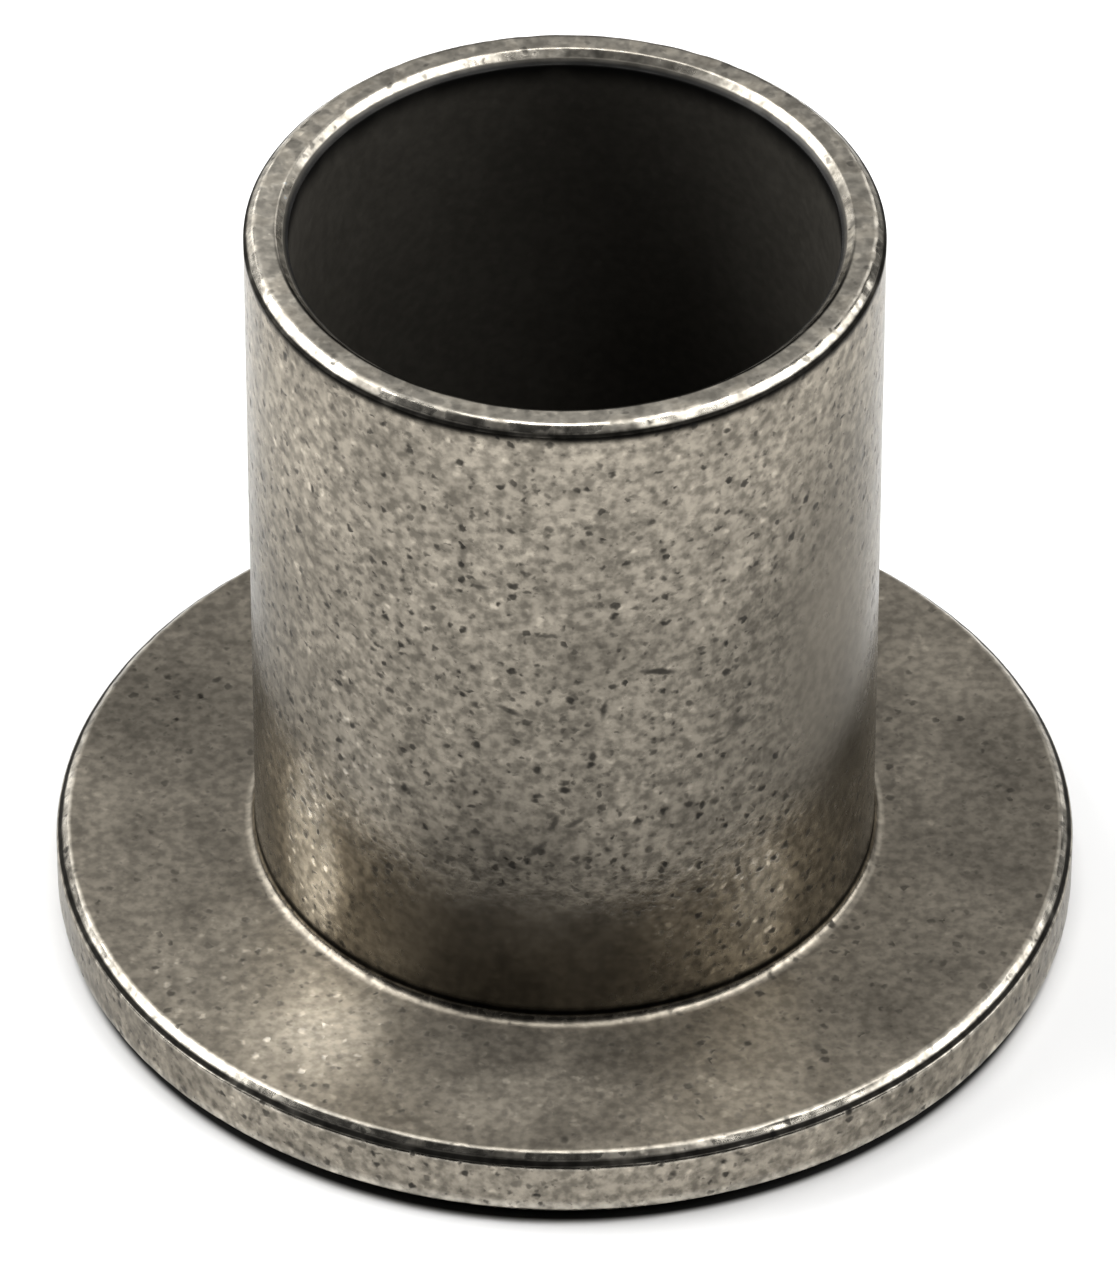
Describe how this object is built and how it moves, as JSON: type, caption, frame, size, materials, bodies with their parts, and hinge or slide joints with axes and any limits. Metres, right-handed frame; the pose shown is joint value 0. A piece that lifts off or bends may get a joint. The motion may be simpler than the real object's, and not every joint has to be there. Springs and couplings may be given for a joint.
{
  "type": "flanged sleeve bushing",
  "caption": "Plain bronze sleeve bearing with a thin cylindrical wall, an open bore and a wide round flange at its foot.",
  "frame": {"origin": "centre of the flange's underside, on the axis of the bore", "axes": "+Z along the axis of the bore, from the flange's underside to the sleeve's free end; X and Y are any two directions across it, because the part is round"},
  "size_m": [0.0366, 0.0366, 0.0302],
  "materials": {
    "sintered_bronze": "sintered bronze, satin, with fine dark pores and a film of oil"
  },
  "bodies": {
    "root": {"flanged_bushing": "sintered_bronze"}
  },
  "joints": []
}
